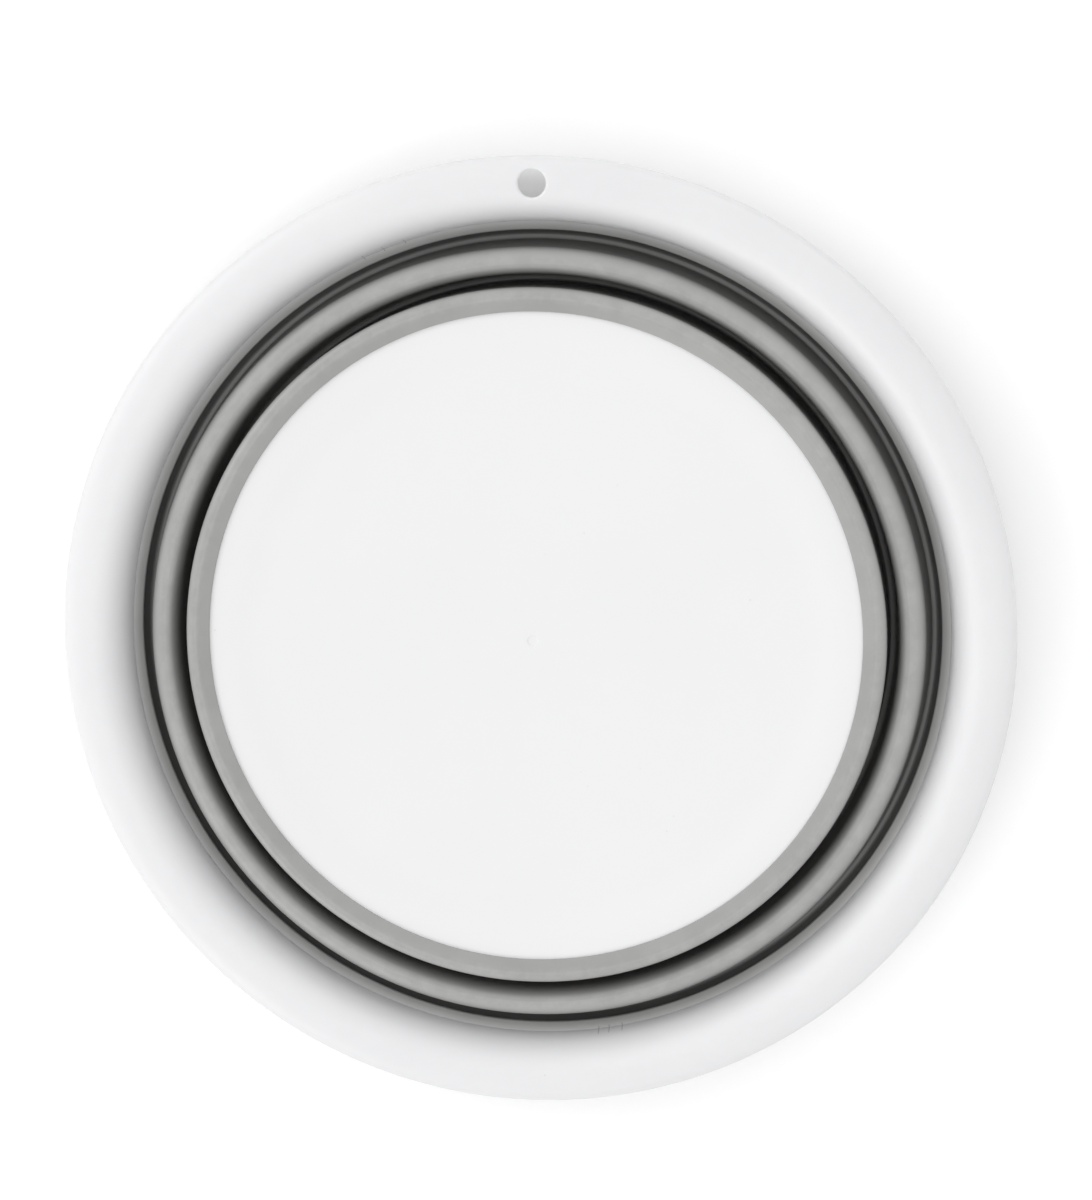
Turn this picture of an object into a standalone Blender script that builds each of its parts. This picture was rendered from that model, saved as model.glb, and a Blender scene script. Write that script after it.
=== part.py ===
"""Collapsible round tub, folded flat: a hard rim and a hard base plate joined by a soft wall with two folds.

The tub lies on a surface with its mouth up. Its axis is +Z, z = 0 is the surface, and the bead at the
bottom of its inner fold touches it. Pulling the rim up turns each fold over, and the wall stands open.
Sizes are in metres.
"""

import math

import bmesh
import bpy

# Gaps and facets
SEAT_GAP = 0.0003  # left between pieces that are moulded onto each other
TURN_FACETS = 48  # round every turned piece
CORNER_FACETS = 3  # in a small rounded corner
SHOULDER_FACETS = 4  # in a wide one
ROLL_FACETS = 6  # in each of the rim's and the ridge's long curves
HOLE_FACETS = 20
CUT_OVERRUN = 0.0020  # how far a cutter runs past what it cuts
MERGE_DISTANCE = 0.00001
SHARP_ANGLE = math.radians(40)

# Base plate
PLATE_RADIUS = 0.1078  # what shows inside the base ring
PLATE_HEIGHT = 0.0260  # top of its border over the surface
PLATE_THICKNESS = 0.0024
PLATE_TONGUE = 0.0032  # how far the plate reaches into the ring
TONGUE_DROP = 0.0004  # the tongue's top below the border's
BORDER_WIDTH = 0.0034
DISH_DEPTH = 0.0008
DISH_SLOPE_WIDTH = 0.0160
GATE_RADIUS = 0.0016  # moulding mark at the centre
GATE_DEPTH = 0.0002

# Base ring
RING_WIDTH = 0.0077
RING_RISE = 0.0022  # its crest over the plate's border
RING_STEP = 0.0008  # its inner edge over the plate's border
RING_SLOPE_SHARE = 0.50  # how much of its width climbs from that edge to the crest
RING_CREST_ROUND = 0.0030
RING_CORNER = 0.0004
RING_SHOULDER = 0.0026
FOOT_DEPTH = 0.0016  # its foot below the plate's underside
FOOT_CORNER = 0.0005

# Soft wall
WALL = 0.0018  # stiff bands
FOLD_WALL = 0.0014  # membranes that turn over
SHOULDER_TAIL = 0.0003  # level end of a membrane past its shoulder
FLARE = 0.0011  # outward turn at a membrane's lower end
BEAD_CORNER = 0.0009

LOWER_SPREAD = 0.0008  # how far the inner membrane leans out on its way down
LOWER_POCKET = 0.0026  # bottom of the inner groove
RIDGE_WIDTH = 0.0089
RIDGE_HEIGHT = 0.0245
RIDGE_LEAN = 0.0009  # how far the ridge's inner wall leans out on its way up
RIDGE_ROLL = 0.0065  # depth over which the ridge's top turns into that wall
RIDGE_SHOULDER = 0.0045

UPPER_SPREAD = 0.0026  # how far the outer membrane leans out on its way down
UPPER_POCKET = 0.0021  # bottom of the outer groove
UPPER_FLOOR = 0.0070  # level of that bottom
UPPER_RECESS = 0.0016  # how far the groove widens from there up to the hollow under the lip
LIP_REACH = 0.0006  # how far the lip over the outer groove stands in front of its wall
LIP_HEIGHT = 0.0124
LIP_THICKNESS = 0.0012
LIP_CORNER = 0.0008
STRIP_WIDTH = 0.0028  # soft strip between the lip's edge and the rim
STRIP_RISE = 0.0016

# Rim
RIM_WIDTH = 0.0208  # from the strip to the outer edge
RIM_HEIGHT = 0.0290  # its crest over the surface
RIM_WALL = 0.0022
RIM_EDGE_DROP = 0.0056  # its widest level below the crest
RIM_LIP_DROP = 0.0048  # its outer lip below the widest level
RIM_LIP_DRAFT = 0.0005
CREST_INSET_SHARE = 0.48  # where the crest lies, as a share of the rim's width from its outer edge
ROLL_SHARE = 0.20  # where the inner roll turns down, as a share of the way from its foot to the crest
SKIRT_DEPTH = 0.0070  # reaches down round the soft band

# Hang hole
HOLE_RADIUS = 0.0045
HOLE_INSET = 0.0088  # its centre from the outer edge
HOLE_ROUND = 0.0010

# Places that follow from the sizes above, from the base outwards
lower_floor = WALL
plate_under = PLATE_HEIGHT - PLATE_THICKNESS
ring_top = PLATE_HEIGHT + RING_RISE
ring_edge = PLATE_RADIUS + RING_WIDTH
ring_split = ring_edge - RING_SHOULDER - SHOULDER_TAIL
lower_fold_foot = ring_edge + LOWER_SPREAD
lower_bead_end = lower_fold_foot + FLARE + SEAT_GAP
middle_wall_foot = lower_fold_foot + LOWER_POCKET
ridge_edge = middle_wall_foot + RIDGE_WIDTH
ridge_split = ridge_edge - RIDGE_SHOULDER - SHOULDER_TAIL
upper_fold_foot = ridge_edge + UPPER_SPREAD
upper_bead_end = upper_fold_foot + FLARE + SEAT_GAP
upper_wall_foot = upper_fold_foot + UPPER_POCKET
upper_wall_radius = upper_wall_foot + UPPER_RECESS
lip_edge = upper_wall_radius - LIP_REACH
strip_edge = lip_edge + STRIP_WIDTH
strip_top = LIP_HEIGHT + STRIP_RISE
rim_foot = strip_edge + SEAT_GAP
rim_edge = rim_foot + RIM_WIDTH
rim_crest = rim_edge - RIM_WIDTH * CREST_INSET_SHARE
rim_widest = RIM_HEIGHT - RIM_EDGE_DROP


def clear_scene():
    for obj in list(bpy.data.objects):
        bpy.data.objects.remove(obj, do_unlink=True)


def unit(start, end):
    length = math.dist(start[:2], end[:2])
    return (end[0] - start[0]) / length, (end[1] - start[1]) / length


def rounded(corners, facets=CORNER_FACETS):
    """Points along a line of (radius, height, round): each inner corner with a round becomes an arc."""
    path = [corners[0][:2]]
    for before, corner, after in zip(corners, corners[1:], corners[2:]):
        if len(corner) < 3 or corner[2] <= 0:
            path.append(corner[:2])
            continue
        back, ahead = unit(corner, before), unit(corner, after)
        half = math.acos(back[0] * ahead[0] + back[1] * ahead[1]) / 2
        reach = corner[2] / math.tan(half)
        middle = unit((0, 0), (back[0] + ahead[0], back[1] + ahead[1]))
        away = corner[2] / math.sin(half)
        centre = (corner[0] + middle[0] * away, corner[1] + middle[1] * away)
        start = (corner[0] + back[0] * reach, corner[1] + back[1] * reach)
        end = (corner[0] + ahead[0] * reach, corner[1] + ahead[1] * reach)
        first = math.atan2(start[1] - centre[1], start[0] - centre[0])
        last = math.atan2(end[1] - centre[1], end[0] - centre[0])
        turn = math.remainder(last - first, math.tau)
        for step in range(facets + 1):
            angle = first + turn * step / facets
            path.append((centre[0] + corner[2] * math.cos(angle), centre[1] + corner[2] * math.sin(angle)))
    path.append(corners[-1][:2])
    return path


def bend(start, corner, end, facets):
    """Points along a curve that leaves start towards corner and reaches end from corner."""
    points = []
    for step in range(facets + 1):
        t = step / facets
        weights = (1 - t) ** 2, 2 * t * (1 - t), t**2
        points.append(tuple(sum(w * p[i] for w, p in zip(weights, (start, corner, end))) for i in range(2)))
    return points


def behind(line, distance, rounds=()):
    """The line moved to the left of its direction, with mitred corners. Each inner corner may get a round."""
    moved = []
    for i, point in enumerate(line):
        came = unit(line[max(i - 1, 0)], line[max(i, 1)])
        goes = unit(line[min(i, len(line) - 2)], line[min(i + 1, len(line) - 1)])
        side = (-came[1] - goes[1], came[0] + goes[0])
        scale = 2 * distance / (side[0] ** 2 + side[1] ** 2)
        moved.append((point[0] + side[0] * scale, point[1] + side[1] * scale))
    for i, value in enumerate(rounds, 1):
        moved[i] += (value,)
    return moved


def material(name, colour, roughness):
    made = bpy.data.materials.new(name)
    made.use_nodes = True
    shader = made.node_tree.nodes["Principled BSDF"]
    shader.inputs["Base Color"].default_value = (*colour, 1)
    shader.inputs["Roughness"].default_value = roughness
    shader.inputs["Metallic"].default_value = 0
    return made


def turned(name, outline, finish=None, parent=None, facets=TURN_FACETS, closed=True):
    """Turns an outline of (radius, height) round the Z axis into one closed mesh with its faces out."""
    shape = bmesh.new()
    points = [shape.verts.new((radius, 0, height)) for radius, height in outline]
    ends = points[1:] + points[: 1 if closed else 0]
    edges = [shape.edges.new(pair) for pair in zip(points, ends)]
    bmesh.ops.spin(
        shape,
        geom=points + edges,
        cent=(0, 0, 0),
        axis=(0, 0, 1),
        angle=math.tau,
        steps=facets,
        use_merge=True,
    )
    bmesh.ops.remove_doubles(shape, verts=shape.verts, dist=MERGE_DISTANCE)
    bmesh.ops.recalc_face_normals(shape, faces=shape.faces)
    mesh = bpy.data.meshes.new(name)
    shape.to_mesh(mesh)
    shape.free()
    mesh.shade_smooth()
    mesh.set_sharp_from_angle(angle=SHARP_ANGLE)
    if finish:
        mesh.materials.append(material(f"{name}_finish", *finish))
    obj = bpy.data.objects.new(name, mesh)
    bpy.context.scene.collection.objects.link(obj)
    obj.parent = parent
    return obj


def slide_empty(name, parent=None):
    """An empty on the axis. Moving it up carries every piece above its fold."""
    empty = bpy.data.objects.new(name, None)
    bpy.context.scene.collection.objects.link(empty)
    empty.parent = parent
    return empty


def base_plate(finish):
    """A dished disc. Its level border meets the ring, and its lower tongue lies inside the ring."""
    dish = PLATE_HEIGHT - DISH_DEPTH
    edge = PLATE_RADIUS + PLATE_TONGUE
    tongue = PLATE_HEIGHT - TONGUE_DROP
    border = PLATE_RADIUS - BORDER_WIDTH
    slope_middle = border - DISH_SLOPE_WIDTH / 2
    floor = (border - DISH_SLOPE_WIDTH, dish)
    halfway = (slope_middle, (dish + PLATE_HEIGHT) / 2)
    outline = [
        (0, dish - GATE_DEPTH),
        (GATE_RADIUS, dish - GATE_DEPTH),
        (GATE_RADIUS + GATE_DEPTH, dish),
        *bend(floor, ((floor[0] + halfway[0]) / 2, dish), halfway, CORNER_FACETS),
        *bend(halfway, ((halfway[0] + border) / 2, PLATE_HEIGHT), (border, PLATE_HEIGHT), CORNER_FACETS)[1:],
        (PLATE_RADIUS - SEAT_GAP, PLATE_HEIGHT),
        (PLATE_RADIUS - SEAT_GAP, tongue),
        (edge, tongue),
        (edge, plate_under),
        (0, plate_under),
    ]
    return turned("base_plate", outline, finish, closed=False)


def base_ring(finish):
    """Grips the plate's edge in a slot. Its underside is the foot of the open tub."""
    outer = ring_split - SEAT_GAP
    slot = PLATE_RADIUS + PLATE_TONGUE + SEAT_GAP
    slot_top = PLATE_HEIGHT - TONGUE_DROP + SEAT_GAP
    slot_floor = plate_under - SEAT_GAP
    foot = plate_under - FOOT_DEPTH
    crest = PLATE_RADIUS + RING_WIDTH * RING_SLOPE_SHARE
    outline = rounded(
        [
            (slot, slot_top),
            (PLATE_RADIUS, slot_top),
            (PLATE_RADIUS, PLATE_HEIGHT + RING_STEP, RING_CORNER),
            (crest, ring_top, RING_CREST_ROUND),
            (outer, ring_top),
            (outer, foot, FOOT_CORNER),
            (PLATE_RADIUS, foot, FOOT_CORNER),
            (PLATE_RADIUS, slot_floor),
            (slot, slot_floor),
        ]
    )
    return turned("base_ring", outline, finish)


def fold(name, foot, floor, edge, top, shoulder, finish, parent=None):
    """A membrane: up from the flared foot at its bead, over a rounded shoulder, to the stiff piece beside."""
    split = edge - shoulder - SHOULDER_TAIL
    line = [(foot + FLARE, floor), (foot, floor), (edge, top), (split, top)]
    outside = [line[0], (*line[1], BEAD_CORNER), (*line[2], shoulder), line[3]]
    inside = behind(line, FOLD_WALL, (BEAD_CORNER + FOLD_WALL, shoulder - FOLD_WALL))
    outline = rounded(outside, SHOULDER_FACETS) + rounded(inside, SHOULDER_FACETS)[::-1]
    return turned(name, outline, finish, parent)


def middle_wall(finish, parent):
    """The ridge between the grooves, its inner wall, and the bead that carries the inner membrane."""
    top = (middle_wall_foot + RIDGE_LEAN, RIDGE_HEIGHT)
    foot = (middle_wall_foot, lower_floor)
    down = unit(top, foot)
    fall = RIDGE_ROLL / -down[1]
    roll_end = (top[0] + down[0] * fall, top[1] + down[1] * fall)
    tail = (ridge_split - SEAT_GAP, RIDGE_HEIGHT)
    roll = [tail, *bend((tail[0] - SHOULDER_TAIL, RIDGE_HEIGHT), top, roll_end, ROLL_FACETS)]
    line = [*roll, foot, (lower_bead_end, lower_floor)]
    face = [*roll, (*foot, BEAD_CORNER), line[-1]]
    back = behind(line, WALL)
    back[-2] += (BEAD_CORNER,)
    return turned("middle_wall", rounded(face) + rounded(back)[::-1], finish, parent)


def upper_wall(finish, parent):
    """Outermost band: the outer membrane's bead, the wall over it, and the lip and strip inside the rim."""
    under = UPPER_FLOOR - WALL
    outline = rounded(
        [
            (strip_edge, strip_top),
            (lip_edge, LIP_HEIGHT, LIP_CORNER),
            (lip_edge, LIP_HEIGHT - LIP_THICKNESS, LIP_CORNER),
            (upper_wall_radius, LIP_HEIGHT - LIP_THICKNESS - LIP_REACH),
            (upper_wall_foot, UPPER_FLOOR, BEAD_CORNER),
            (upper_bead_end, UPPER_FLOOR),
            (upper_bead_end, under),
            (strip_edge, under, BEAD_CORNER),
            (strip_edge, strip_top),
        ]
    )
    return turned("upper_wall", outline[:-1], finish, parent)


def hole_cutter(centre):
    """A round cutter whose top flares into the rim's rounded hole edge."""
    flare = HOLE_RADIUS + HOLE_ROUND
    top = RIM_HEIGHT + CUT_OVERRUN
    bottom = RIM_HEIGHT - RIM_WALL - CUT_OVERRUN
    outline = [(0, bottom), (HOLE_RADIUS, bottom)]
    round_start = (HOLE_RADIUS, RIM_HEIGHT - HOLE_ROUND)
    outline += bend(round_start, (HOLE_RADIUS, RIM_HEIGHT), (flare, RIM_HEIGHT), CORNER_FACETS)
    outline += [(flare, top), (0, top)]
    cutter = turned("hang_hole_cutter", outline, facets=HOLE_FACETS, closed=False)
    cutter.location.y = centre
    cutter.hide_render = True
    cutter.display_type = "WIRE"
    return cutter


def rim_flange(finish, parent):
    """Hard convex rim: a down-turned outer lip, a crest, an inner roll, and a skirt round the soft band."""
    crest = (rim_crest, RIM_HEIGHT)
    turn_down = (rim_foot + (rim_crest - rim_foot) * ROLL_SHARE, RIM_HEIGHT)
    outer_roll = bend((rim_edge, rim_widest), (rim_edge, RIM_HEIGHT), crest, ROLL_FACETS)
    inner_roll = bend(crest, turn_down, (rim_foot, strip_top), ROLL_FACETS)
    lip = (rim_edge - RIM_LIP_DRAFT, rim_widest - RIM_LIP_DROP)
    top = [lip, *outer_roll, *inner_roll[1:], (rim_foot, strip_top - SKIRT_DEPTH)]
    outline = top + behind(top, RIM_WALL)[::-1]
    obj = turned("rim_flange", outline, finish, parent)
    hole = obj.modifiers.new("hang_hole", "BOOLEAN")
    hole.operation = "DIFFERENCE"
    hole.solver = "EXACT"
    hole.object = hole_cutter(rim_edge - HOLE_INSET)
    return obj


def main():
    clear_scene()
    white = (0.80, 0.80, 0.82), 0.35
    grey = (0.38, 0.38, 0.37), 0.45
    middle_slide = slide_empty("above_lower_fold")
    rim_slide = slide_empty("above_upper_fold", middle_slide)
    base_plate(white)
    base_ring(grey)
    fold("lower_fold", lower_fold_foot, lower_floor, ring_edge, ring_top, RING_SHOULDER, grey)
    middle_wall(grey, middle_slide)
    ridge = ridge_edge, RIDGE_HEIGHT, RIDGE_SHOULDER
    fold("upper_fold", upper_fold_foot, UPPER_FLOOR, *ridge, grey, middle_slide)
    upper_wall(grey, rim_slide)
    rim_flange(white, rim_slide)


main()
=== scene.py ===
"""Looks of a round folding tub that lies folded flat: satin white rim and base plate, soft grey wall.

Every piece is an outline turned round the tub's axis, and the hang hole is cut through the rim. Sizes are in
metres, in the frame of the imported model: +Z is the axis, and z = 0 is the surface that the tub lies on.
"""

import math

import bmesh
import bpy
from mathutils import Matrix, Vector


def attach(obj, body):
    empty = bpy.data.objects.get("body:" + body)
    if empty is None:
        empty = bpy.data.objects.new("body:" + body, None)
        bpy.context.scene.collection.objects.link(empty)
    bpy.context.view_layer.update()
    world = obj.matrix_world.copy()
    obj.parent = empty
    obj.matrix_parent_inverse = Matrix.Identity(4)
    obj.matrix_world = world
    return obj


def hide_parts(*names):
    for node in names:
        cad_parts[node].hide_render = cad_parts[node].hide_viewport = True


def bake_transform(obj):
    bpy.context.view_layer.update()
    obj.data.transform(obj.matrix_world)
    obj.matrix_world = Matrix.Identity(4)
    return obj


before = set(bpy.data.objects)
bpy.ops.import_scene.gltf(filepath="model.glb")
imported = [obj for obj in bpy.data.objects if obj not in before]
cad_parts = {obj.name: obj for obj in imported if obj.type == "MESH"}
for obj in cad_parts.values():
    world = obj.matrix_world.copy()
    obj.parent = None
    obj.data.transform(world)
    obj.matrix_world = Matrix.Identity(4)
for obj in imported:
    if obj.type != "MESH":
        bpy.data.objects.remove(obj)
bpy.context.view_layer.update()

# Soft walls
WALL = 0.0018  # stiff bands
FOLD_WALL = 0.0014  # membranes that turn over
FLARE = 0.0014  # outward turn at a membrane's lower end, up to its seam
SHOULDER_TAIL = 0.0003  # level end of a membrane past its shoulder

# Base plate
PLATE_RADIUS = 0.1078  # what shows inside the base ring
PLATE_HEIGHT = 0.0260  # top of its border over the surface
PLATE_THICKNESS = 0.0024
PLATE_TONGUE = 0.0032  # how far it reaches into the ring
TONGUE_DROP = 0.0004
BORDER_WIDTH = 0.0034
DISH_DEPTH = 0.0008
DISH_SLOPE_WIDTH = 0.0160
GATE_RADIUS = 0.0016  # moulding mark at the centre
GATE_DEPTH = 0.0002
GATE_FIELD = 0.0040  # the dish is cut into short stretches outside this
PLATE_STRETCH = 0.0060  # their longest

# Base ring
RING_WIDTH = 0.0077
RING_RISE = 0.0022  # its crest over the plate's border
RING_STEP = 0.0008  # its inner edge over the plate's border
RING_CREST_ROUND = 0.0032
RING_CORNER = 0.0004
RING_SHOULDER = 0.0026
FOOT_DEPTH = 0.0016  # its foot below the plate's underside
RING_EDGE = PLATE_RADIUS + RING_WIDTH
RING_CREST = PLATE_RADIUS + RING_WIDTH / 2
RING_SPLIT = RING_EDGE - RING_SHOULDER - SHOULDER_TAIL  # its seam with the inner membrane
RING_HEIGHT = PLATE_HEIGHT + RING_RISE
RING_FOOT = PLATE_HEIGHT - PLATE_THICKNESS - FOOT_DEPTH

# Inner fold and ridge
LOWER_SPREAD = 0.0008  # how far the inner membrane leans out on its way down
LOWER_POCKET = 0.0026  # bottom of the inner groove
LOWER_FLOOR = WALL
LOWER_FOOT = RING_EDGE + LOWER_SPREAD
LOWER_BEAD = LOWER_FOOT + FLARE  # the paler line along the inner groove's bead, where the painted groove shade is lifted
MIDDLE_FOOT = LOWER_FOOT + LOWER_POCKET
RIDGE_WIDTH = 0.0089
RIDGE_TOP = 0.0245
RIDGE_SHOULDER = 0.0045
RIDGE_LEAN = 0.0009  # how far its inner wall leans out on its way up
RIDGE_ROLL = 0.0065  # depth over which its top turns into that wall
RIDGE_EDGE = MIDDLE_FOOT + RIDGE_WIDTH
RIDGE_SPLIT = RIDGE_EDGE - RIDGE_SHOULDER - SHOULDER_TAIL  # its seam with the outer membrane

# Outer fold, lip and strip
UPPER_SPREAD = 0.0026
UPPER_POCKET = 0.0021
UPPER_FLOOR = 0.0070
UPPER_RECESS = 0.0016  # how far the groove widens up to the hollow under the lip
UPPER_FOOT = RIDGE_EDGE + UPPER_SPREAD
UPPER_BEAD = UPPER_FOOT + FLARE / 2  # the paler line in the outer groove, where the painted groove shade is lifted
BAND_FOOT = UPPER_FOOT + UPPER_POCKET
BAND_RADIUS = BAND_FOOT + UPPER_RECESS
LIP_REACH = 0.0006  # how far the lip stands in front of the band's wall
LIP_HEIGHT = 0.0124
LIP_THICKNESS = 0.0012
LIP_CORNER = 0.0009
LIP_EDGE = BAND_RADIUS - LIP_REACH
STRIP_WIDTH = 0.00295  # soft strip between the lip's edge and the rim
STRIP_RISE = 0.0016
STRIP_EDGE = LIP_EDGE + STRIP_WIDTH
STRIP_TOP = LIP_HEIGHT + STRIP_RISE

# Rim and hang hole
RIM_WIDTH = 0.02095  # from the strip to the outer edge
RIM_HEIGHT = 0.0290  # its crest over the surface
RIM_WALL = 0.0022
RIM_EDGE_DROP = 0.0056  # its widest level below the crest
RIM_LIP_DROP = 0.0048  # its outer lip below the widest level
RIM_LIP_DRAFT = 0.0005
CREST_INSET = 0.00998  # the crest's distance from the outer edge
ROLL_SHARE = 0.20  # where the inner roll turns down, as a share of the way from its foot to the crest
SKIRT_DEPTH = 0.0070  # reaches down round the soft band
RIM_EDGE = STRIP_EDGE + RIM_WIDTH
RIM_CREST = RIM_EDGE - CREST_INSET
RIM_WIDEST = RIM_HEIGHT - RIM_EDGE_DROP
HOLE_RADIUS = 0.0045
HOLE_INSET = 0.0088  # its centre from the outer edge
HOLE_ROUND = 0.0009
HOLE_REACH = 0.0080  # how far below the crest its cutter starts

# Small rounds, and how finely the pieces are made
BEAD_ROUND = 0.0013
FOOT_ROUND = 0.0009
EDGE_ROUND = 0.0004
HAIR = 0.000006  # stays between pieces that are moulded in one
WELD = HAIR / 4
FACETS_ROUND = 240
ARC_STEPS = 7
LONG_STEPS = 26
HOLE_FACETS = 72
HOLE_ARC = 8
RAIL_RADIUS = 0.13  # the circle along which the outlines are swept
BEND_STRETCH = 0.0009  # longest straight stretch of a membrane, so that it can bend
SHARP = math.radians(38)

# Wear, marks, painted shade and light, lamps and floor
RUBBED_DEPTH = 0.0007  # how far below its crest a soft piece is rubbed
BEAD_HALF = 0.0004  # half the width of the paler line along a bead, where the painted groove shade is lifted
# how much of the painted groove shade is lifted along a bead's line
BEAD_SHADE_LIFT = 0.60
STRIP_LIGHT = 0.45  # how much painted light pales the strip towards the rim
STRIP_FADE = 0.0003  # how far over its lip that starts
MARK_TURNS = 114.5, 111.5, 108.4, -77.6, -79.5, -81.0  # degrees round the axis
MARK_LENGTH = 0.0016
MARK_WIDTH = 0.0004
SUN_SPREAD = math.radians(36)
SKY_LEVEL = 0.89
FLOOR_HALF = 3.0  # half its width
FLOOR_GLOW = 0.25  # lifts the floor towards white in the picture, but not under the tub

# Colours of wear, painted shade and light, and marks, each as red, green, blue and alpha
DUST = 0.30, 0.29, 0.28, 1
CHAFED_WHITE = 0.60, 0.59, 0.58, 1
FLEXED_GREY = 0.55, 0.55, 0.54, 1
RUBBED_GREY = 0.62, 0.62, 0.61, 1
PAINTED_SHADE_GREY = 0.085, 0.083, 0.081, 1  # painted shade, fullest at the bottom of the grooves and on the inner flanks
STRIP_LIGHT_GREY = 0.75, 0.75, 0.75, 1  # painted light on the strip's thin edge
STRIP_MARK = 0.10, 0.10, 0.10, 1
FOOT_MARK = 0.20, 0.19, 0.19, 1


def unit(start, end):
    length = math.dist(start[:2], end[:2])
    return (end[0] - start[0]) / length, (end[1] - start[1]) / length


def rounded(corners, steps=ARC_STEPS):
    """Points along a line of (radius, height, round): an inner corner with a round becomes an arc."""
    path = [corners[0][:2]]
    for before, corner, after in zip(corners, corners[1:], corners[2:]):
        if len(corner) < 3 or corner[2] <= 0:
            path.append(corner[:2])
            continue
        back, ahead = unit(corner, before), unit(corner, after)
        half = math.acos(back[0] * ahead[0] + back[1] * ahead[1]) / 2
        middle = unit((0, 0), (back[0] + ahead[0], back[1] + ahead[1]))
        away = corner[2] / math.sin(half)
        centre = (corner[0] + middle[0] * away, corner[1] + middle[1] * away)
        reach = corner[2] / math.tan(half)
        start = (corner[0] + back[0] * reach, corner[1] + back[1] * reach)
        end = (corner[0] + ahead[0] * reach, corner[1] + ahead[1] * reach)
        first = math.atan2(start[1] - centre[1], start[0] - centre[0])
        last = math.atan2(end[1] - centre[1], end[0] - centre[0])
        turn = math.remainder(last - first, math.tau)
        for step in range(steps + 1):
            angle = first + turn * step / steps
            path.append((centre[0] + corner[2] * math.cos(angle), centre[1] + corner[2] * math.sin(angle)))
    path.append(corners[-1][:2])
    return path


def bend(start, corner, end, steps=LONG_STEPS):
    """Points along a curve that leaves start towards corner and reaches end from corner."""
    points = []
    for step in range(steps + 1):
        t = step / steps
        weights = (1 - t) ** 2, 2 * t * (1 - t), t**2
        points.append(tuple(sum(w * p[i] for w, p in zip(weights, (start, corner, end))) for i in range(2)))
    return points


def behind(line, distance, rounds=()):
    """The line moved to the left of its direction, with mitred corners. Each inner corner may get a round."""
    moved = []
    for i, point in enumerate(line):
        came = unit(line[max(i - 1, 0)], line[max(i, 1)])
        goes = unit(line[min(i, len(line) - 2)], line[min(i + 1, len(line) - 1)])
        side = (-came[1] - goes[1], came[0] + goes[0])
        scale = 2 * distance / (side[0] ** 2 + side[1] ** 2)
        moved.append((point[0] + side[0] * scale, point[1] + side[1] * scale))
    for i, value in enumerate(rounds, 1):
        moved[i] += (value,)
    return moved


def split_long(line, longest):
    """The same line with its long straight stretches cut into short ones, so that it can bend."""
    path = [line[0]]
    for start, end in zip(line, line[1:]):
        parts = max(1, math.ceil(math.dist(start, end) / longest))
        for i in range(1, parts + 1):
            path.append(tuple(a + (b - a) * i / parts for a, b in zip(start, end)))
    return path


# Shader trees
class Number:
    """A socket that carries a number. Each operator adds one Math node."""

    def __init__(self, finish, socket):
        self.finish, self.socket = finish, socket

    def _made(self, operation, *values):
        return Number(self.finish, self.finish.add("ShaderNodeMath", {"operation": operation}, *values))

    def __add__(self, other):
        return self._made("ADD", self, other)

    def __sub__(self, other):
        return self._made("SUBTRACT", self, other)

    def __rsub__(self, other):
        return self._made("SUBTRACT", other, self)

    def __mul__(self, other):
        return self._made("MULTIPLY", self, other)

    def __pow__(self, other):
        return self._made("POWER", self, other)

    def largest(self, other):
        return self._made("MAXIMUM", self, other)

    def size(self):
        return self._made("ABSOLUTE", self)

    __radd__ = __add__
    __rmul__ = __mul__


class Finish:
    """One material, with a method that adds any node and sets its settings first, then its sockets."""

    def __init__(self, name, **constants):
        self.material = bpy.data.materials.new(name)
        self.material.use_nodes = True
        self.tree = self.material.node_tree
        self.shader = self.tree.nodes["Principled BSDF"]
        for socket, value in constants.items():
            self.shader.inputs[socket.replace("_", " ")].default_value = value

    def add(self, kind, settings=None, *values, output=0, **named):
        node = self.tree.nodes.new(kind)
        for setting, value in (settings or {}).items():
            setattr(node, setting, value)
        pairs = [(node.inputs[i], value) for i, value in enumerate(values)]
        pairs += [(node.inputs[key.replace("_", " ")], value) for key, value in named.items()]
        for socket, value in pairs:
            self.join(value, socket)
        return node.outputs[output]

    def join(self, value, socket):
        value = value.socket if isinstance(value, Number) else value
        if isinstance(value, bpy.types.NodeSocket):
            self.tree.links.new(value, socket)
        elif value is not None:
            socket.default_value = value

    def feed(self, **values):
        for key, value in values.items():
            self.join(value, self.shader.inputs[key.replace("_", " ")])

    def place(self):
        return self.add("ShaderNodeTexCoord", output="Object")

    def noise(self, where, scale, detail=2.0, roughness=0.5):
        return Number(
            self,
            self.add("ShaderNodeTexNoise", {}, Vector=where, Scale=scale, Detail=detail, Roughness=roughness),
        )

    def spots(self, where, scale):
        return Number(self, self.add("ShaderNodeTexVoronoi", {}, Vector=where, Scale=scale))

    def steps(self, value, low, high, start=0.0, end=1.0):
        """Carries the value's range from low to high over to start to end, softly at both ends."""
        settings = {"interpolation_type": "SMOOTHSTEP"}
        return Number(
            self,
            self.add("ShaderNodeMapRange", settings, value, low, high, start, end),
        )

    def round_axis(self, where):
        """Distance from the axis, turn round it in radians, and height, as three numbers."""
        split = self.add("ShaderNodeSeparateXYZ", {}, where).node
        x, y, z = (Number(self, socket) for socket in split.outputs)
        away = (x * x + y * y) ** 0.5
        turn = Number(self, self.add("ShaderNodeMath", {"operation": "ARCTAN2"}, y, x))
        return away, turn, z

    def along(self, first, second, third=0.0):
        return self.add("ShaderNodeCombineXYZ", {}, first, second, third)

    def tint(self, amount, first, second):
        """A colour between two, by a number."""
        mix = self.add("ShaderNodeMix", {"data_type": "RGBA"}).node
        for socket, value in zip((mix.inputs[0], mix.inputs[6], mix.inputs[7]), (amount, first, second)):
            self.join(value, socket)
        return mix.outputs[2]

    def relief(self, height, distance, strength=1.0, normal=None):
        return self.add(
            "ShaderNodeBump", {}, Height=height, Distance=distance, Strength=strength, Normal=normal
        )


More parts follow.
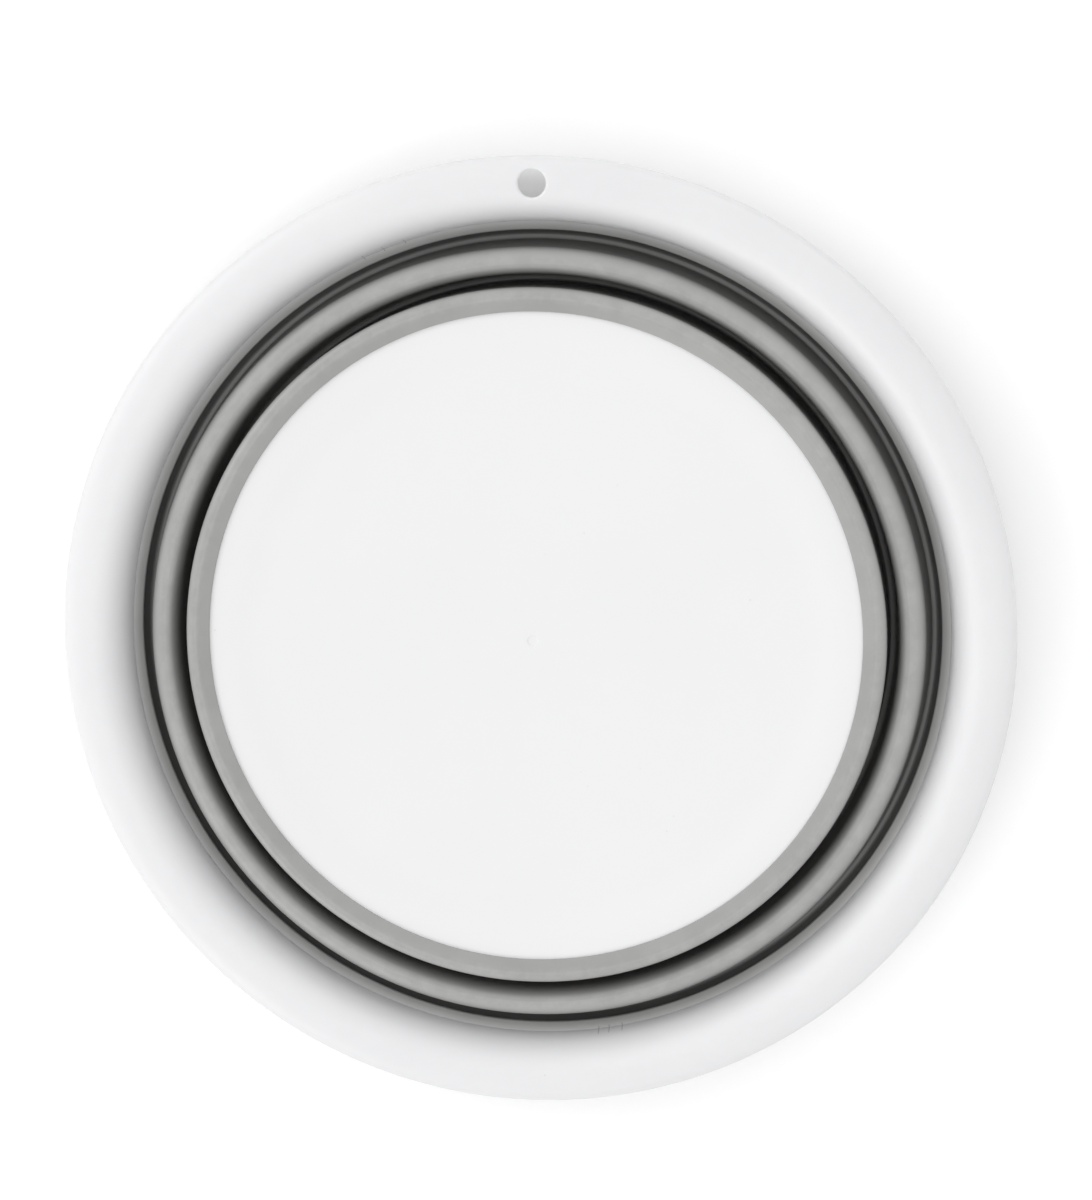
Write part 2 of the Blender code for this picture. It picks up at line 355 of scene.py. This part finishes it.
def mould_marks(finish, away, turn):
    """Faint short marks across the strip and the rim's foot, at a few turns round the tub."""
    half = MARK_WIDTH / STRIP_EDGE / 2
    marks, *others = (
        finish.steps((turn - math.radians(place)).size(), half * 0.5, half * 1.3, 1.0, 0.0)
        for place in MARK_TURNS
    )
    for mark in others:
        marks = marks.largest(mark)
    return marks * finish.steps((away - STRIP_EDGE).size(), MARK_LENGTH * 0.35, MARK_LENGTH * 0.55, 1.0, 0.0)


def strip_light_and_marks(finish, base, away, turn, height):
    """Painted light: the strip pales towards the rim, standing in for the white plastic shining through its
    thin edge.
    """
    # painted light: lighter towards the rim
    edge = finish.steps(height, LIP_HEIGHT + STRIP_FADE, STRIP_TOP)
    base = finish.tint(edge * STRIP_LIGHT, base, STRIP_LIGHT_GREY)
    return finish.tint(mould_marks(finish, away, turn) * 0.45, base, STRIP_MARK)


def foot_colour(finish, base, away, turn, height):
    """The marks run on over the rim's foot."""
    return finish.tint(mould_marks(finish, away, turn) * 0.40, base, FOOT_MARK)


def rim_edges(finish, where, away):
    """The rim's outer edge, the round of its hang hole, and the brink of its crest."""
    split = finish.add("ShaderNodeSeparateXYZ", {}, where).node
    x, y = (Number(finish, socket) for socket in split.outputs[:2])
    beside = y - (RIM_EDGE - HOLE_INSET)
    from_hole = (x * x + beside * beside) ** 0.5
    hole = finish.steps(from_hole, HOLE_RADIUS + HOLE_ROUND, HOLE_RADIUS, 0.0, 1.0)
    outer = finish.steps(away, RIM_EDGE - HOLE_ROUND * 2, RIM_EDGE - HOLE_ROUND / 2)
    crest = finish.steps((away - RIM_CREST).size(), HOLE_RADIUS, 0.0, 0.0, 0.25)
    return outer.largest(hole).largest(crest)


def plate_edges(finish, where, away):
    """The plate's border beside the ring."""
    return finish.steps(away, PLATE_RADIUS - RING_STEP, PLATE_RADIUS)


def white_plastic(name, whites, grain, scuffs, worn, light_through=0.0, marked=None):
    """Satin injection-moulded plastic: fine even grain, soft waves, faint rubbed places and chafed edges.

    whites are its two tones, grain is how deep its grain is, and scuffs how much rougher its rubbed places
    are. worn says how near a point is to a chafed edge, light_through how much light spreads inside the wall,
    and marked adds marks to the colour.
    """
    finish = Finish(
        name, IOR=1.49, Subsurface_Weight=light_through, Subsurface_Scale=0.005, Subsurface_Radius=(1, 1, 1)
    )
    colour, shade = whites
    where = finish.place()
    away, turn, height = finish.round_axis(where)
    cloud = finish.noise(where, 14, 3)
    fine = finish.noise(where, 2600, 2, 0.6)
    flow = finish.noise(finish.along(away * 60, turn * 3, height * 60), 1.6, 4, 0.55)
    scratches = finish.noise(finish.along(away * 3500, turn * 5), 1, 2, 0.5)
    rubbed = finish.steps(scratches, 0.62, 0.74) * finish.steps(finish.noise(where, 31, 2), 0.48, 0.62)
    patches = finish.noise(finish.along(away * 260, turn * 34, height * 260), 1, 4, 0.6)
    chafed = worn(finish, where, away) * finish.steps(patches, 0.40, 0.62)
    specks = 1 - finish.steps(finish.spots(where, 150), 0.035, 0.06)
    dust = specks * finish.steps(finish.noise(where, 23, 1), 0.60, 0.66)
    tone = finish.steps(cloud * 0.7 + flow * 0.3, 0.35, 0.65)
    base = finish.tint(tone, (*shade, 1), (*colour, 1))
    base = finish.tint(dust * 0.16, base, DUST)
    base = finish.tint(chafed * 0.14, base, CHAFED_WHITE)
    if marked:
        base = marked(finish, base, away, turn, height)
    finish.feed(Base_Color=base)
    finish.feed(Roughness=0.37 + fine * 0.05 + cloud * 0.04 + rubbed * scuffs - chafed * 0.09)
    waves = finish.relief(flow, 0.00006, 0.5)
    finish.feed(Normal=finish.relief(fine - rubbed * 0.4 - chafed * 0.5, grain, 0.6, waves))
    return finish.material


def soft_rubber(
    name,
    greys,
    flexed,
    crest,
    walls=(RING_FOOT, 0.0),
    groove_shade=0.0,
    bead=0.0,
    flank=(0.0, BEAD_HALF, 0.0),
    marked=None,
):
    """Moulded thermoplastic rubber: satin, faintly mottled, with fine lines round the tub where it flexes.

    greys are its two tones, flexed is how much the lines show, and crest is the level where it is rubbed
    paler and smoother. Painted shade darkens it from the upper to the lower level of walls, by the groove
    shade given, but for the line round its bead, where that painted shade is lifted. Its flank is (full up to
    this radius, gone at this one, how much): painted shade darkens it there too. marked adds marks to the
    colour, and for the strip painted light as well.
    """
    finish = Finish(name, IOR=1.50)
    colour, shade = greys
    where = finish.place()
    away, turn, height = finish.round_axis(where)
    cloud = finish.noise(where, 38, 3, 0.55)
    fine = finish.noise(where, 3200, 2, 0.6)
    lines = finish.noise(finish.along(away * 900, turn * 2.2, height * 900), 1.0, 3, 0.5)
    flow = finish.noise(finish.along(away * 40, turn * 9, height * 40), 1.2, 3, 0.5)
    bloom = finish.steps(finish.noise(where, 95, 4, 0.6), 0.52, 0.72)
    patches = finish.steps(finish.noise(finish.along(away * 300, turn * 26), 1, 3, 0.6), 0.42, 0.60)
    rubbed = finish.steps((height - crest).size(), 0.0, RUBBED_DEPTH, 1.0, 0.0) * patches
    base = finish.tint(finish.steps(cloud * 0.6 + flow * 0.4, 0.36, 0.64), (*shade, 1), (*colour, 1))
    base = finish.tint(bloom * 0.06 + finish.steps(lines, 0.60, 0.80) * flexed, base, FLEXED_GREY)
    base = finish.tint(rubbed * 0.09, base, RUBBED_GREY)
    # Painted shade: darker down the walls, lifted along the bead's line, and darker on the flank.
    top, deep = walls
    paler = finish.steps((away - bead).size(), BEAD_HALF, BEAD_HALF * 2.4, BEAD_SHADE_LIFT, 0.0)
    flank_shade_to, flank_shade_end, flank_shade_amount = flank
    # painted shade on the flank, full inside its first radius
    flank_shade = finish.steps(away, flank_shade_to, flank_shade_end, flank_shade_amount, 0.0)
    painted_shade = (finish.steps(height, deep, top, groove_shade, 0.0) * (1 - paler)).largest(flank_shade)
    base = finish.tint(painted_shade, base, PAINTED_SHADE_GREY)
    if marked:
        base = marked(finish, base, away, turn, height)
    finish.feed(Base_Color=base)
    finish.feed(Roughness=0.31 + cloud * 0.06 + fine * 0.05 + bloom * 0.05 - rubbed * 0.04)
    drawn = finish.relief(lines, 0.00003, 0.5 + flexed)
    finish.feed(Normal=finish.relief(fine, 0.000025, 0.5, drawn))
    return finish.material


# Finishes
RIM_WHITES = (0.805, 0.805, 0.815), (0.788, 0.788, 0.80)
PLATE_WHITES = (0.835, 0.835, 0.842), (0.825, 0.825, 0.834)
BAND_GREYS = (0.395, 0.395, 0.385), (0.365, 0.365, 0.358)
STRIP_GREYS = (0.435, 0.435, 0.425), (0.405, 0.405, 0.397)
FOLD_GREYS = (0.385, 0.385, 0.376), (0.355, 0.355, 0.348)
# Painted shade on the inner flanks of the ring and the ridge: (full up to this radius, gone at this one, how
# much)
RING_FLANK_SHADE = RING_CREST - 0.0003, RING_CREST + 0.0007, 0.10
RIDGE_FLANK_SHADE = MIDDLE_FOOT + 0.0013, RIDGE_EDGE - 0.0030, 0.34
# Painted shade down the walls of each soft piece: (level where it starts, level where it is full)
RIDGE_WALL_SHADE = RIDGE_TOP - 0.0010, 0.0150
BAND_WALL_SHADE = LIP_HEIGHT - 0.0004, 0.0108
LOWER_WALL_SHADE = RING_HEIGHT - 0.0004, 0.0240
UPPER_WALL_SHADE = RIDGE_TOP - 0.0001, 0.0203

white_rim = white_plastic(
    "rim_satin",
    RIM_WHITES,
    grain=0.00002,
    scuffs=0.07,
    worn=rim_edges,
    light_through=0.5,
    marked=foot_colour,
)
white_plate = white_plastic("plate_satin", PLATE_WHITES, grain=0.000012, scuffs=0.08, worn=plate_edges)
# Painted shade darkens the soft pieces on their flanks and down their walls, and the strip takes painted
# light.
ring_rubber = soft_rubber("ring_rubber", BAND_GREYS, flexed=0.02, crest=RING_HEIGHT, flank=RING_FLANK_SHADE)
middle_rubber = soft_rubber(
    "middle_rubber",
    BAND_GREYS,
    flexed=0.02,
    crest=RIDGE_TOP,
    walls=RIDGE_WALL_SHADE,
    groove_shade=0.62,
    bead=LOWER_BEAD,
    flank=RIDGE_FLANK_SHADE,
)
band_rubber = soft_rubber(
    "band_rubber",
    STRIP_GREYS,
    flexed=0.02,
    crest=STRIP_TOP,
    walls=BAND_WALL_SHADE,
    groove_shade=0.85,
    bead=UPPER_BEAD,
    marked=strip_light_and_marks,
)
lower_rubber = soft_rubber(
    "lower_fold_rubber",
    FOLD_GREYS,
    flexed=0.08,
    crest=RING_HEIGHT,
    walls=LOWER_WALL_SHADE,
    groove_shade=0.92,
    bead=LOWER_BEAD,
)
upper_rubber = soft_rubber(
    "upper_fold_rubber",
    FOLD_GREYS,
    flexed=0.08,
    crest=RIDGE_TOP,
    walls=UPPER_WALL_SHADE,
    groove_shade=0.95,
    bead=UPPER_BEAD,
)


# One Geometry Nodes tree turns every outline
def turning_tree():
    """Sweeps the outline held by an object's mesh round the axis, as a closed band."""
    tree = bpy.data.node_groups.new("turned_outline", "GeometryNodeTree")
    for name, kind in (
        ("Outline", "NodeSocketGeometry"),
        ("Facets round", "NodeSocketInt"),
        ("Rail radius", "NodeSocketFloat"),
        ("Weld distance", "NodeSocketFloat"),
        ("Finish", "NodeSocketMaterial"),
    ):
        tree.interface.new_socket(name, in_out="INPUT", socket_type=kind)
    tree.interface.new_socket("Band", in_out="OUTPUT", socket_type="NodeSocketGeometry")
    given = tree.nodes.new("NodeGroupInput").outputs

    def node(kind, links, settings=None):
        made = tree.nodes.new(kind)
        for setting, value in (settings or {}).items():
            setattr(made, setting, value)
        for socket, source in links.items():
            tree.links.new(source, made.inputs[socket])
        return made.outputs[0]

    outline = node("GeometryNodeMeshToCurve", {"Mesh": given["Outline"]})
    rail = node(
        "GeometryNodeCurvePrimitiveCircle",
        {"Resolution": given["Facets round"], "Radius": given["Rail radius"]},
    )
    upright = node("GeometryNodeSetCurveNormal", {"Curve": rail}, {"mode": "Z_UP"})
    band = node("GeometryNodeCurveToMesh", {"Curve": upright, "Profile Curve": outline})
    welded = node("GeometryNodeMergeByDistance", {"Geometry": band, "Distance": given["Weld distance"]})
    real = node("GeometryNodeRealizeInstances", {"Geometry": welded})
    done = node("GeometryNodeSetMaterial", {"Geometry": real, "Material": given["Finish"]})
    tree.links.new(done, tree.nodes.new("NodeGroupOutput").inputs["Band"])
    return tree


turned_outline = turning_tree()


def placed(name, data):
    obj = bpy.data.objects.new(name, data)
    bpy.context.scene.collection.objects.link(obj)
    return obj


def settle(obj, modifier):
    """Keeps what the modifier makes as the object's plain mesh, and takes the modifier away."""
    graph = bpy.context.evaluated_depsgraph_get()
    mesh = bpy.data.meshes.new_from_object(obj.evaluated_get(graph))
    obj.modifiers.remove(modifier)
    obj.data = mesh
    return mesh


def shade(mesh):
    mesh.shade_smooth()
    mesh.set_sharp_from_angle(angle=SHARP)


def turned(name, outline, finish, closed=True):
    """A piece: its outline of (radius, height) turned round the axis, as a plain mesh."""
    source = bpy.data.meshes.new(name)
    points = [(radius - RAIL_RADIUS, -height, 0) for radius, height in outline]
    last = len(points) if closed else len(points) - 1
    source.from_pydata(points, [(i, (i + 1) % len(points)) for i in range(last)], [])
    obj = placed(name, source)
    modifier = obj.modifiers.new("turned", "NODES")
    modifier.node_group = turned_outline
    given = {
        "Facets round": FACETS_ROUND,
        "Rail radius": RAIL_RADIUS,
        "Weld distance": WELD,
        "Finish": finish,
    }
    for item in turned_outline.interface.items_tree:
        if item.name in given:
            modifier[item.identifier] = given[item.name]
    mesh = settle(obj, modifier)
    bpy.data.meshes.remove(source)
    mesh.name = name
    face_out(mesh)
    return obj


def face_out(mesh):
    """Welds the mesh, turns its faces out, and shades it smooth but for its sharp corners."""
    shape = bmesh.new()
    shape.from_mesh(mesh)
    bmesh.ops.remove_doubles(shape, verts=shape.verts, dist=WELD)
    bmesh.ops.recalc_face_normals(shape, faces=shape.faces)
    shape.to_mesh(mesh)
    shape.free()
    shade(mesh)


# Outlines
def plate_outline():
    """Disc: a gate mark at the centre, a shallow dish, a level border, and the tongue inside the ring."""
    edge = PLATE_RADIUS + PLATE_TONGUE
    dish = PLATE_HEIGHT - DISH_DEPTH
    under = PLATE_HEIGHT - PLATE_THICKNESS
    border = PLATE_RADIUS - BORDER_WIDTH
    middle = border - DISH_SLOPE_WIDTH / 2
    floor = border - DISH_SLOPE_WIDTH
    half = (middle, (dish + PLATE_HEIGHT) / 2)
    return [
        (0, dish - GATE_DEPTH),
        *rounded(
            [
                (0, dish - GATE_DEPTH),
                (GATE_RADIUS, dish - GATE_DEPTH, GATE_DEPTH / 2),
                (GATE_RADIUS + GATE_DEPTH, dish, GATE_DEPTH / 2),
                (floor, dish),
            ],
            steps=3,
        )[1:-1],
        *split_long([(GATE_FIELD, dish), (floor, dish)], PLATE_STRETCH),
        *bend((floor, dish), ((floor + middle) / 2, dish), half, steps=8)[1:],
        *bend(half, ((middle + border) / 2, PLATE_HEIGHT), (border, PLATE_HEIGHT), steps=8)[1:],
        *rounded(
            [
                (PLATE_RADIUS - BORDER_WIDTH / 2, PLATE_HEIGHT),
                (PLATE_RADIUS - HAIR, PLATE_HEIGHT),
                (PLATE_RADIUS - HAIR, PLATE_HEIGHT - TONGUE_DROP),
                (edge, PLATE_HEIGHT - TONGUE_DROP),
            ],
            steps=4,
        ),
        (edge, under),
        *split_long([(edge, under), (0, under)], PLATE_STRETCH * 2)[1:],
    ]


def ring_outline():
    """Gripping ring: a soft inner corner a step over the plate, a slope to its crest, and a level top."""
    outer = RING_SPLIT - HAIR
    slot = PLATE_RADIUS + PLATE_TONGUE + HAIR
    slot_top = PLATE_HEIGHT - TONGUE_DROP + HAIR
    slot_floor = PLATE_HEIGHT - PLATE_THICKNESS - HAIR
    return rounded(
        [
            (slot, slot_top),
            (PLATE_RADIUS, slot_top),
            (PLATE_RADIUS, PLATE_HEIGHT + RING_STEP, RING_CORNER),
            (RING_CREST, RING_HEIGHT, RING_CREST_ROUND),
            (outer, RING_HEIGHT),
            (outer, RING_FOOT, EDGE_ROUND),
            (PLATE_RADIUS, RING_FOOT, EDGE_ROUND),
            (PLATE_RADIUS, slot_floor),
            (slot, slot_floor),
        ]
    )


def fold_outline(foot, floor, edge, top, split, shoulder):
    """Membrane: a flared foot, a leaning leg, a rounded shoulder and a level end."""
    line = [(foot + FLARE - HAIR, floor), (foot, floor), (edge, top), (split, top)]
    face = [line[0], (*line[1], FOOT_ROUND), (*line[2], shoulder), line[3]]
    back = behind(line, FOLD_WALL, (FOOT_ROUND + FOLD_WALL, shoulder - FOLD_WALL))
    return split_long(rounded(face), BEND_STRETCH) + split_long(rounded(back), BEND_STRETCH)[::-1]


def middle_outline():
    """Ridge: a level top that rolls into a leaning wall, down to the inner groove's floor."""
    top = (MIDDLE_FOOT + RIDGE_LEAN, RIDGE_TOP)
    foot = (MIDDLE_FOOT, LOWER_FLOOR)
    down = unit(top, foot)
    fall = RIDGE_ROLL / -down[1]
    start = (RIDGE_SPLIT - HAIR, RIDGE_TOP)
    roll_end = (top[0] + down[0] * fall, top[1] + down[1] * fall)
    roll = [start, *bend((start[0] - EDGE_ROUND, RIDGE_TOP), top, roll_end)]
    line = [*roll, foot, (LOWER_FOOT + FLARE, LOWER_FLOOR)]
    back = behind(line, WALL)
    back[-2] += (BEAD_ROUND,)
    return rounded([*roll, (*foot, BEAD_ROUND), line[-1]]) + rounded(back)[::-1]


def band_outline():
    """Outermost band: a soft strip inside the rim, a lip, the recess under it, and the groove's floor."""
    outer = STRIP_EDGE - HAIR
    under = UPPER_FLOOR - WALL
    inner = UPPER_FOOT + FLARE
    return rounded(
        [
            (outer, STRIP_TOP),
            (LIP_EDGE, LIP_HEIGHT, LIP_CORNER),
            (LIP_EDGE, LIP_HEIGHT - LIP_THICKNESS, LIP_CORNER / 3),
            (BAND_RADIUS, LIP_HEIGHT - LIP_THICKNESS - (BAND_RADIUS - LIP_EDGE), LIP_CORNER),
            (BAND_FOOT, UPPER_FLOOR, FOOT_ROUND),
            (inner, UPPER_FLOOR),
            (inner, under),
            (outer, under, BEAD_ROUND),
            (outer, STRIP_TOP),
        ]
    )[:-1]


def rim_line():
    """The rim's top face, from its outer lip over the crest to the skirt's lower edge."""
    crest = (RIM_CREST, RIM_HEIGHT)
    turn_down = (STRIP_EDGE + (RIM_CREST - STRIP_EDGE) * ROLL_SHARE, RIM_HEIGHT)
    outer = bend((RIM_EDGE, RIM_WIDEST), (RIM_EDGE, RIM_HEIGHT), crest)
    inner = bend(crest, turn_down, (STRIP_EDGE, STRIP_TOP))
    lip = (RIM_EDGE - RIM_LIP_DRAFT, RIM_WIDEST - RIM_LIP_DROP)
    return [lip, *outer, *inner[1:], (STRIP_EDGE, STRIP_TOP - SKIRT_DEPTH)]


def rim_outline():
    """The whole wall of the rim, with its lower edges a little rounded."""
    top = rim_line()
    under = behind(top, RIM_WALL)
    lip_end, skirt_end = (top[0], under[0]), (top[-1], under[-1])
    return rounded(
        [
            top[1],
            (*lip_end[0], EDGE_ROUND),
            (*lip_end[1], EDGE_ROUND),
            *under[1:-1],
            (*skirt_end[1], EDGE_ROUND),
            (*skirt_end[0], EDGE_ROUND),
            *top[-2:1:-1],
        ]
    )


def hole_cutter():
    """Cuts the hang hole. Its flared top follows the rim's surface, so the hole's edge is evenly rounded."""
    line = sorted(rim_line()[1:-1])
    centre = RIM_EDGE - HOLE_INSET

    def surface(radius):
        """Level of the rim's top face."""
        for (r0, h0), (r1, h1) in zip(line, line[1:]):
            if r0 <= radius <= r1 and r1 > r0:
                return h0 + (h1 - h0) * (radius - r0) / (r1 - r0)
        return RIM_HEIGHT

    quarter = [math.pi / 2 * i / HOLE_ARC for i in range(HOLE_ARC + 1)]
    flare = [(1 - math.cos(angle), math.sin(angle) - 1) for angle in quarter]
    shape = bmesh.new()
    rings = []
    for spread, rise in [(0.0, None), *flare, (1.0, 1.0)]:
        reach = HOLE_RADIUS + HOLE_ROUND * spread
        ring = []
        for i in range(HOLE_FACETS):
            angle = math.tau * i / HOLE_FACETS
            x, y = reach * math.cos(angle), centre + reach * math.sin(angle)
            z = RIM_HEIGHT - HOLE_REACH if rise is None else surface(math.hypot(x, y)) + HOLE_ROUND * rise
            ring.append(shape.verts.new((x, y, z)))
        rings.append(ring)
    for low, high in zip(rings, rings[1:]):
        for i in range(HOLE_FACETS):
            j = (i + 1) % HOLE_FACETS
            shape.faces.new((low[i], low[j], high[j], high[i]))
    shape.faces.new(rings[0][::-1])
    shape.faces.new(rings[-1])
    bmesh.ops.recalc_face_normals(shape, faces=shape.faces)
    mesh = bpy.data.meshes.new("hang_hole_cutter")
    shape.to_mesh(mesh)
    shape.free()
    mesh.materials.append(white_rim)
    return placed("hang_hole_cutter", mesh)


def cut_hole(obj):
    cutter = hole_cutter()
    hole = obj.modifiers.new("hang_hole", "BOOLEAN")
    hole.operation, hole.solver, hole.object = "DIFFERENCE", "EXACT", cutter
    shade(settle(obj, hole))
    bpy.data.objects.remove(cutter)


# The pieces
rim = turned("rim_top", rim_outline(), white_rim)
cut_hole(rim)
plate = turned("plate_top", plate_outline(), white_plate, closed=False)
ring = turned("ring_band", ring_outline(), ring_rubber)
middle = turned("middle_band", middle_outline(), middle_rubber)
band = turned("upper_band", band_outline(), band_rubber)
lower = turned(
    "lower_membrane",
    fold_outline(LOWER_FOOT, LOWER_FLOOR, RING_EDGE, RING_HEIGHT, RING_SPLIT, RING_SHOULDER),
    lower_rubber,
)
upper = turned(
    "upper_membrane",
    fold_outline(UPPER_FOOT, UPPER_FLOOR, RIDGE_EDGE, RIDGE_TOP, RIDGE_SPLIT, RIDGE_SHOULDER),
    upper_rubber,
)

for piece, body, node, slot in (
    (rim, "rim", "rim_flange", "rim_plastic"),
    (plate, "base", "base_plate", "plate_plastic"),
    (ring, "base", "base_ring", "band_rubber"),
    (middle, "middle", "middle_wall", "band_rubber"),
    (band, "rim", "upper_wall", "band_rubber"),
):
    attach(piece, body)
    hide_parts(node)
for piece, bodies, node, top, bottom in (
    (lower, ("base", "middle"), "lower_fold", RING_HEIGHT, LOWER_FLOOR),
    (upper, ("middle", "rim"), "upper_fold", RIDGE_TOP, UPPER_FLOOR),
):
    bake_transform(piece)
    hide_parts(node)


# Floor and light
def floor():
    """Pale floor that keeps the tub's shadow. Past the rim's crest the picture shows it nearly white."""
    mesh = bpy.data.meshes.new("floor")
    shape = bmesh.new()
    bmesh.ops.create_grid(shape, x_segments=1, y_segments=1, size=FLOOR_HALF)
    shape.to_mesh(mesh)
    shape.free()
    finish = Finish("pale_floor", Base_Color=(0.84, 0.84, 0.84, 1), Roughness=0.9)
    seen = Number(finish, finish.add("ShaderNodeLightPath", output="Is Camera Ray"))
    away = finish.round_axis(finish.place())[0]
    open_floor = finish.steps(away, RIM_CREST, RIM_EDGE)
    glow = finish.add("ShaderNodeEmission", {}, Strength=seen * open_floor * FLOOR_GLOW)
    both = finish.add("ShaderNodeAddShader", {}, finish.shader.outputs[0], glow)
    finish.tree.links.new(both, finish.tree.nodes["Material Output"].inputs["Surface"])
    mesh.materials.append(finish.material)
    placed("floor", mesh)


def sky():
    """Even light from all round. The picture shows it as white."""
    world = bpy.data.worlds.new("soft_sky")
    world.use_nodes = True
    tree = world.node_tree
    back = tree.nodes["Background"]
    back.inputs["Color"].default_value = (1, 1, 1, 1)
    path = tree.nodes.new("ShaderNodeLightPath")
    shown = tree.nodes.new("ShaderNodeMapRange")
    shown.inputs["To Min"].default_value = SKY_LEVEL
    tree.links.new(path.outputs["Is Camera Ray"], shown.inputs["Value"])
    tree.links.new(shown.outputs[0], back.inputs["Strength"])
    bpy.context.scene.world = world


def sun(name, turn, tilt, strength):
    """Soft light from one side: its turn round the tub's axis and its tilt off it, in degrees."""
    light = bpy.data.lights.new(name, "SUN")
    light.energy, light.angle = strength, SUN_SPREAD
    placed(name, light).rotation_euler = (0, math.radians(tilt), math.radians(turn))


def photo_camera():
    """Looks down at the plate, leaning a little off the axis, as the photograph does."""
    tilt, turn, distance = math.radians(11.7), math.radians(57.6), 0.985
    width, height = 1092, 1200
    plate_across, plate_down = 532.4, 641.3  # where the plate's centre lies in the photograph, in pixels
    pixel = 0.000328  # what a pixel spans at the plate
    back = Vector((math.sin(tilt) * math.cos(turn), math.sin(tilt) * math.sin(turn), math.cos(tilt)))
    right = Vector((0, 1, 0)).cross(back).normalized()
    data = bpy.data.cameras.new("camera")
    data.sensor_width = 36
    data.lens = distance / pixel * data.sensor_width / height
    data.shift_x = (width / 2 - plate_across) / height
    data.shift_y = (plate_down - height / 2) / height
    data.clip_end = 20
    camera = placed("camera", data)
    camera.matrix_world = Matrix((right, back.cross(right), back)).transposed().to_4x4()
    camera.location = Vector((0, 0, PLATE_HEIGHT)) + back * distance
    bpy.context.scene.camera = camera


floor()
sky()
sun("left_sun", turn=150, tilt=66, strength=0.52)
sun("lower_left_sun", turn=228, tilt=60, strength=0.50)
sun("right_sun", turn=60, tilt=66, strength=0.25)
photo_camera()
bpy.context.scene.view_settings.view_transform = "Standard"
